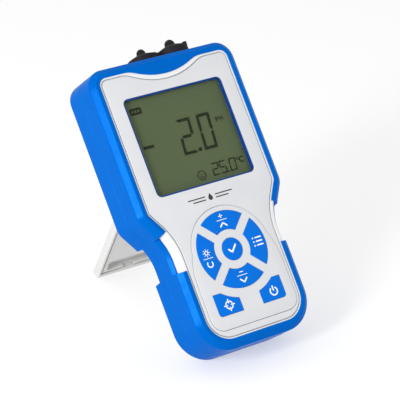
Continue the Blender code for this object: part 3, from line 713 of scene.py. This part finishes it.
KEYS = {
    "key_ok": (ok_key, (0.0, PAD_CENTRE_Y)),
    "key_up": (lambda grow=0.0: ring_key(math.pi / 2, grow), (0.0, PAD_CENTRE_Y + 17)),
    "key_mode": (lambda grow=0.0: ring_key(0.0, grow), (17.0, PAD_CENTRE_Y)),
    "key_down": (lambda grow=0.0: ring_key(-math.pi / 2, grow), (0.0, PAD_CENTRE_Y - 17)),
    "key_light": (lambda grow=0.0: ring_key(math.pi, grow), (-17.0, PAD_CENTRE_Y)),
    "key_cal": (lambda grow=0.0: corner_key(-1, grow), (-15.0, 23.0)),
    "key_power": (lambda grow=0.0: corner_key(1, grow), (15.0, 23.0)),
}


def build_keypad():
    bezel = prism(pad_outline(0), *BEZEL_Z, top=0.2)
    holes = [prism(outline(KEY_SLOT), *THROUGH_FACE) for outline, _ in KEYS.values()]
    panel = cut_from(bezel, holes)
    add_piece("keypad_panel", panel, LOOKS["silver_paint"], "meter", ["keypad_bezel"])
    for name, (outline, stem) in KEYS.items():
        cap = prism(outline(), KEY_FLANGE_Z[0] + 0.4, KEY_TOP, top=0.12)
        flange = prism(outline(KEY_FLANGE), *KEY_FLANGE_Z)
        foot = cylinder(stem, KEY_STEM_RADIUS, *KEY_STEM_Z, "z", 32)
        body = cut_from(cap, [], [flange, foot])
        add_piece(f"{name}_cap", body, LOOKS["key_blue"], f"{name}_body", [name])


# --- kickstand --------------------------------------------------------------------------
def stand_half(distance):
    return STAND_FOOT_HALF + (STAND_HINGE_HALF - STAND_FOOT_HALF) * distance / STAND_LENGTH


def build_stand():
    """The kickstand about its hinge: y runs up from the foot, z towards the meter."""
    foot_y, half = -STAND_LENGTH, STAND_HALF_THICK
    outline = filleted(
        [
            (0, foot_y, 0),
            (STAND_FOOT_HALF, foot_y, 0.9),
            (STAND_HINGE_HALF, 0, 0),
        ],
        5,
    )
    outline = mirrored(outline[1:])
    body = prism(outline, -half, half, top=0.35, bottom=0.9)
    barrel = cylinder((0, 0), half * 0.995, -STAND_HINGE_HALF, STAND_HINGE_HALF, "x")

    def tray_outline(inset):
        low, high = TRAY_FROM_FOOT[0] + inset, TRAY_FROM_FOOT[1] - inset
        right = [(stand_half(y) - inset, foot_y + y) for y in (low, high)]
        return mirrored(right)

    def hollow(reach, from_foot, radius, depth):
        low, high = (foot_y + y for y in from_foot)
        return prism(rounded_box((-reach, low), (reach, high), radius), half - depth, half + 1)

    tray = prism(tray_outline(TRAY_RIM), half - TRAY_DEPTH, half + 1)
    panel = prism(tray_outline(TRAY_RIM + TRAY_GROOVE), -half, half + 1)
    groove = cut_from(prism(tray_outline(TRAY_RIM), half - TRAY_GROOVE_DEPTH, half), [panel])
    pocket = hollow(POCKET_X, POCKET_FROM_FOOT, 1.8, POCKET_DEPTH)
    scoop = hollow(SCOOP_X, SCOOP_FROM_FOOT, 1.5, SCOOP_DEPTH)
    bore = cylinder((0, 0), PIN_BORE, -25, 25, "x", 24)
    made = cut_from(body, [tray, groove, pocket, scoop, bore, under_table(STAND_SPACE)], [barrel])
    add_piece("kickstand_tray", made, STAND_LOOK, "stand", ["kickstand"], space=STAND_SPACE)


# --- dust caps --------------------------------------------------------------------------
def build_cap(name, node_name, body_name, x, barrel, nub, nub_y, crown_y, tab_x=None):
    """A dust cap with a round pull nub, turned about its socket. tab_x is where its tab ends."""
    rim_y = crown_y - CAP_SLOPE
    round_nub = arc(0, nub_y - nub, nub, math.pi / 2, 0, 8)[1:]
    shoulder = filleted(
        [
            (nub, crown_y + 1.2, 0),
            (nub, crown_y + 0.1, 0.8),
            (CAP_RADIUS - 0.2, rim_y, 0.9),
            (CAP_RADIUS, CAP_FOOT_Y + 1.2, 0),
            (CAP_RADIUS, CAP_FOOT_Y, 0.35),
            (barrel, CAP_FOOT_Y, 0.3),
            (barrel, rim_y - 0.2, 0),
            (0, rim_y - 0.2, 0),
        ],
        4,
    )
    profile = [(0, nub_y)] + round_nub + shoulder
    cap = turned((x, SOCKET_Z), profile)
    if tab_x:
        low = (x + barrel + 0.4, crown_y - 3.0, SOCKET_Z - 3.5)
        tab = block(low, (tab_x, crown_y, SOCKET_Z + 3.5), 0.6)
        cap = cut_from(cap, [], [tab])
    add_piece(name, cap, LOOKS["rubber_black"], body_name, [node_name])


def build_caps():
    build_cap(
        "bnc_dust_boot",
        "bnc_cap",
        "bnc_dust_cap",
        x=BNC_X,
        barrel=6.9,
        nub=3.0,
        nub_y=181.6,
        crown_y=178.0,
        tab_x=30.4,
    )
    build_cap(
        "temp_dust_boot",
        "temp_cap",
        "temp_dust_cap",
        x=TEMP_X,
        barrel=6.1,
        nub=2.6,
        nub_y=180.0,
        crown_y=176.8,
    )


# --- marks ------------------------------------------------------------------------------
def stroke(points, width, low, high):
    """A flat line of this width through points, as a solid between two levels, with round ends."""
    parts = []
    for (ax, ay), (bx, by) in zip(points, points[1:]):
        angle = math.atan2(by - ay, bx - ax)
        right = angle - math.pi / 2
        cap_b = arc(bx, by, width / 2, right, right + math.pi, 6)
        cap_a = arc(ax, ay, width / 2, right + math.pi, right + 2 * math.pi, 6)
        parts.append(prism(cap_b + cap_a, low, high))
    return parts


def loop(x, y, radius, width, low, high, start=0.0, end=360.0, steps=28):
    """A circle, or a piece of one, drawn as a flat band. Angles are in degrees."""
    start, end = math.radians(start), math.radians(end)
    full = end - start > 2 * math.pi - 1e-6
    outer = arc(x, y, radius + width / 2, start, end, steps)
    inner = arc(x, y, radius - width / 2, start, end, steps)
    if not full:
        return [prism(outer + inner[::-1], low, high)]
    rings = [
        [(px, py, z) for px, py in points[:-1]]
        for points, z in ((outer, low), (outer, high), (inner, high), (inner, low))
    ]
    return [loft(rings, closed=True)]


PRINT_Z = (KEY_TOP - 0.05, KEY_TOP + 0.06)


def plus(x, y, size, width):
    return stroke([(x - size, y), (x + size, y)], width, *PRINT_Z) + stroke(
        [(x, y - size), (x, y + size)], width, *PRINT_Z
    )


def minus(x, y, size, width):
    return stroke([(x - size, y), (x + size, y)], width, *PRINT_Z)


def build_key_marks():
    cy = PAD_CENTRE_Y
    z = PRINT_Z
    up = plus(0, cy + 19.6, 1.1, 0.5) + minus(0, cy + 17.3, 3.2, 0.35)
    up += stroke([(-2.1, cy + 13.6), (0, cy + 15.6), (2.1, cy + 13.6)], 0.8, *z)
    down = minus(0, cy - 13.6, 1.1, 0.5) + minus(0, cy - 15.5, 3.2, 0.35)
    down += stroke([(-2.1, cy - 17.6), (0, cy - 19.6), (2.1, cy - 17.6)], 0.8, *z)
    light = loop(-16.9, cy + 1.9, 1.0, 0.45, *z)
    for i in range(8):
        turn = math.pi / 4 * i
        c, s = math.cos(turn), math.sin(turn)
        ray = [(-16.9 + 1.6 * c, cy + 1.9 + 1.6 * s), (-16.9 + 2.2 * c, cy + 1.9 + 2.2 * s)]
        light += stroke(ray, 0.35, *z)
    light += minus(-16.9, cy - 1.3, 3.0, 0.35)
    light += loop(-16.9, cy - 4.6, 1.7, 0.7, *z, start=130, end=400)
    mode = []
    for row in (-2.2, 0.0, 2.2):
        mode += stroke([(14.6, cy + row), (14.7, cy + row)], 0.9, *z)
        mode += stroke([(16.4, cy + row), (20.0, cy + row)], 0.8, *z)
    ok = stroke([(-2.4, cy + 0.1), (-0.7, cy - 1.7), (2.6, cy + 1.9)], 1.0, *z)
    cal = loop(-14.6, 23.6, 2.2, 0.7, *z)
    for dx, dy in ((0, 1), (0, -1), (1, 0), (-1, 0)):
        near, far = ((-14.6 + dx * reach, 23.6 + dy * reach) for reach in (1.3, 3.2))
        cal += stroke([near, far], 0.7, *z)
    power = loop(15.6, 23.4, 2.3, 0.8, *z, start=125, end=415)
    power += stroke([(15.6, 23.8), (15.6, 26.3)], 0.8, *z)
    marks = {
        "key_up": up,
        "key_down": down,
        "key_light": light,
        "key_mode": mode,
        "key_ok": ok,
        "key_cal": cal,
        "key_power": power,
    }
    for key, parts in marks.items():
        add_piece(f"mark_{key}", merged(parts), PRINT_WHITE, f"{key}_body")


def build_emblem():
    """A plain drop between two pairs of bars, above the keypad."""
    z = (PLATE_Z[1] - 0.05, PLATE_Z[1] + 0.04)
    x, y = -1.2, 84.2
    drop = arc(x, y - 0.3, 1.45, math.radians(150), math.radians(390), 20)
    parts = [prism(drop + [(x, y + 2.4)], *z)]
    for side in (-1, 1):
        for row, length in ((0.9, 11.0), (-0.9, 8.0)):
            start = x + side * 3.6
            parts += stroke([(start, y + row), (start + side * length, y + row)], 0.65, *z)
    add_piece("emblem", merged(parts), PRINT_DARK, "meter")


# --- display ----------------------------------------------------------------------------
SEGMENTS = {
    "0": "abcdef",
    "2": "abged",
    "5": "afgcd",
}
SEGMENT_ENDS = {
    "a": ((0, 2), (1, 2)),
    "b": ((1, 2), (1, 1)),
    "c": ((1, 1), (1, 0)),
    "d": ((1, 0), (0, 0)),
    "e": ((0, 0), (0, 1)),
    "f": ((0, 1), (0, 2)),
    "g": ((0, 1), (1, 1)),
}
INK_Z = (LCD_Z[1] + 0.02, LCD_Z[1] + 0.1)
SLANT = 0.09


def segment(start, end, width, reach):
    """One bar of a digit. Its outer side, on the left from start to end, reaches past its ends."""
    a, b = Vector(start), Vector(end)
    along = (b - a).normalized()
    side = Vector((-along.y, along.x)) * width / 2
    inner = along * width / 2
    points = [
        a - along * reach[0] + side,
        a + inner - side,
        b - inner - side,
        b + along * reach[1] + side,
    ]
    return prism([(p.x + p.y * SLANT, p.y) for p in points], *INK_Z)


def digit(symbol, x, y, wide, tall, width):
    """A seven-segment digit, its bars mitred where they meet at a corner."""
    parts = []
    for name in SEGMENTS[symbol]:
        left, foot = x - y * SLANT + width / 2, y + width / 2
        ends = [
            (left + px * (wide - width), foot + py * (tall - width) / 2)
            for px, py in SEGMENT_ENDS[name]
        ]
        reach = [width * (0.42 if py != 1 else -0.08) for _, py in SEGMENT_ENDS[name]]
        if name == "g":
            reach = [-width / 2, -width / 2]
        parts.append(segment(*ends, width, reach))
    return parts


def main_reading():
    parts = digit("2", -5.4, 110.9, 9.4, 21.0, 1.8) + digit("0", 8.3, 110.9, 8.9, 21.0, 1.8)
    point = rounded_box((4.3, 111.2), (6.6, 113.3), 0.4)
    minus_sign = rounded_box((-28.9, 120.1), (-22.1, 121.9), 0.2)
    return parts + [prism(point, *INK_Z), prism(minus_sign, *INK_Z)]


def temperature_reading():
    parts = []
    for symbol, x in (("2", 7.7), ("5", 12.9), ("0", 19.6)):
        parts += digit(symbol, x, 95.4, 4.6, 7.5, 0.8)
    parts.append(prism(rounded_box((17.9, 95.4), (18.8, 96.3), 0.1), *INK_Z))
    parts += loop(26.2, 101.6, 0.7, 0.45, *INK_Z)
    return parts + loop(28.9, 100.6, 1.5, 0.75, *INK_Z, start=50, end=310)


def smiley():
    x = 0.4
    parts = loop(x, 97.7, 2.6, 0.55, *INK_Z)
    parts += loop(x, 97.8, 1.3, 0.5, *INK_Z, start=200, end=340)
    for side in (-1, 1):
        parts += stroke([(x + side * 0.9, 98.5), (x + side * 0.9, 98.6)], 0.6, *INK_Z)
    return parts


def battery_sign():
    box = prism(rounded_box((-29.3, 140.4), (-21.7, 144.4), 0.7), *INK_Z)
    bars = [rounded_box((x, 141.7), (x + 1.1, 143.1), 0.2) for x in (-28.2, -26.2, -24.2)]
    return [cut_from(box, [prism(bar, *THROUGH_FACE) for bar in bars])]


def unit_sign():
    parts = stroke([(22.2, 125.1), (22.2, 127.7)], 0.55, *INK_Z)
    parts += loop(22.9, 127.0, 0.7, 0.5, *INK_Z)
    for x in (24.7, 26.5):
        parts += stroke([(x, 125.3), (x, 127.7)], 0.55, *INK_Z)
    return parts + stroke([(24.7, 126.5), (26.5, 126.5)], 0.5, *INK_Z)


def build_display():
    border = prism(window_outline(0), *MASK_Z)
    mask = cut_from(border, [prism(view_outline(0), *THROUGH_FACE)])
    add_piece("window_border", mask, LOOKS["mask_ink"], "meter", ["display_mask"])
    panel = prism(view_outline(0.2, 0.5), *LCD_Z)
    add_piece("lcd_plate", panel, LOOKS["lcd_glass"], "meter", ["lcd_panel"])

    parts = main_reading() + temperature_reading() + smiley() + battery_sign() + unit_sign()
    add_piece("display_segments", merged(parts), LCD_INK, "meter")


# --- details that the CAD solids leave out ------------------------------------------------
def build_details():
    ears = []
    for side in (-1, 1):
        low = BNC_X + side * 4.5 - 0.6
        ears.append(cylinder((172.6, SOCKET_Z), 1.0, low, low + 1.2, "x", 20))
    add_piece("bnc_bayonet_ears", merged(ears), LOOKS["steel"], "meter")
    pins = []
    for x, radius in ((BNC_X, 0.45), (TEMP_X, 0.4)):
        pins.append(cylinder((x, SOCKET_Z), radius, 167.0, 172.0, "y", 20))
    add_piece("socket_contacts", merged(pins), LOOKS["brass"], "meter")
    ribs = []
    for row in range(6):
        y = 76.0 + 2.0 * row
        ribs.append(block((-7.0, y, 6.62), (7.0, y + 0.8, 7.2), 0.15))
    add_piece("door_grip_ribs", merged(ribs), LOOKS["abs_white"], "door")


def dress_cad_nodes():
    """Gives every CAD node that still shows its material, welded vertices and softened edges."""
    soft = {"back_shell": 0.25, "battery_door": 0.25, "display_lens": 0.15}
    for name, obj in frame["nodes"].items():
        if obj.hide_render:
            continue
        slot = SLOTS[name]
        obj.data.materials.clear()
        obj.data.materials.append(LOOKS[slot])
        weld = obj.modifiers.new("weld", "WELD")
        weld.merge_threshold = 0.000002
        width = soft.get(name, 0.08)
        bevel = obj.modifiers.new("soft_edges", "BEVEL")
        bevel.width = width * MM
        bevel.segments = 2
        bevel.limit_method = "ANGLE"
        bevel.angle_limit = math.radians(38)
        bevel.harden_normals = False
        obj.data.shade_smooth()
        obj.data.set_sharp_from_angle(angle=math.radians(32))


# --- stage ------------------------------------------------------------------------------
def build_stage():
    bm = bmesh.new()
    bmesh.ops.create_grid(bm, x_segments=1, y_segments=1, size=6.0)
    mesh = bpy.data.meshes.new("floor")
    bm.to_mesh(mesh)
    bm.free()
    floor = bpy.data.objects.new("floor", mesh)
    look = bpy.data.materials.new("floor_paper")
    look.use_nodes = True
    shader = look.node_tree.nodes["Principled BSDF"]
    shader.inputs["Base Color"].default_value = (0.5, 0.5, 0.5, 1)
    shader.inputs["Roughness"].default_value = 0.9
    shader.inputs["Specular IOR Level"].default_value = 0.0
    shader.inputs["Emission Color"].default_value = (1, 1, 1, 1)
    shader.inputs["Emission Strength"].default_value = 0.5
    mesh.materials.append(look)
    bpy.context.scene.collection.objects.link(floor)

    world = bpy.data.worlds.new("studio")
    world.use_nodes = True
    world.node_tree.nodes["Background"].inputs["Color"].default_value = (1, 1, 1, 1)
    world.node_tree.nodes["Background"].inputs["Strength"].default_value = 0.75
    bpy.context.scene.world = world

    middle = (Vector(CAD_BOX[0]) + Vector(CAD_BOX[1])) / 2
    for name, offset, width, height, power in (
        ("key_light", (-1.06, -0.41, 0.52), 0.2, 0.5, 10.0),
        ("fill_light", (0.9, -0.6, 0.7), 0.9, 0.9, 1.0),
        ("back_light", (-0.3, 0.9, 1.1), 0.8, 0.8, 1.5),
    ):
        lamp = bpy.data.lights.new(name, "AREA")
        lamp.shape = "RECTANGLE"
        lamp.size, lamp.size_y = width, height
        lamp.energy = power
        obj = bpy.data.objects.new(name, lamp)
        obj.location = middle + Vector(offset)
        obj.rotation_mode = "QUATERNION"
        obj.rotation_quaternion = (-Vector(offset)).to_track_quat("-Z", "Y")
        bpy.context.scene.collection.objects.link(obj)


CAMERA_ANGLES = (-31.34, -7.0, -20.55)  # turn, rise and roll, in degrees
CAMERA_AIM = Vector((0.975, 86.41, 15.0))
CAMERA_DISTANCE = 1151.6
CAMERA_LENS = 183.85


def build_camera():
    """Looks at the meter from its left. The angles are about the meter's own axes."""
    turn, rise, roll = (math.radians(angle) for angle in CAMERA_ANGLES)
    flat = math.cos(rise)
    back = Vector((math.sin(turn) * flat, math.sin(rise), math.cos(turn) * flat))
    right = Vector((0, 1, 0)).cross(back).normalized()
    up = back.cross(right)
    c, s = math.cos(roll), math.sin(roll)
    right, up = right * c + up * s, up * c - right * s
    data = bpy.data.cameras.new("camera")
    data.sensor_width = 36
    data.lens = CAMERA_LENS
    data.clip_start, data.clip_end = 0.05, 50
    camera = bpy.data.objects.new("camera", data)
    camera.rotation_mode = "QUATERNION"
    camera.location = METER_SPACE @ (CAMERA_AIM + back * CAMERA_DISTANCE)
    axes = Matrix((right, up, back)).transposed()
    camera.rotation_quaternion = (TILT.to_3x3() @ axes).to_quaternion()
    bpy.context.scene.collection.objects.link(camera)
    bpy.context.scene.camera = camera


build_camera()
build_stage()
build_sleeve()
build_front_shell()
build_face_plate()
build_keypad()
build_stand()
build_caps()
build_key_marks()
build_emblem()
build_display()
build_details()
dress_cad_nodes()
bpy.context.scene.view_settings.view_transform = "Standard"
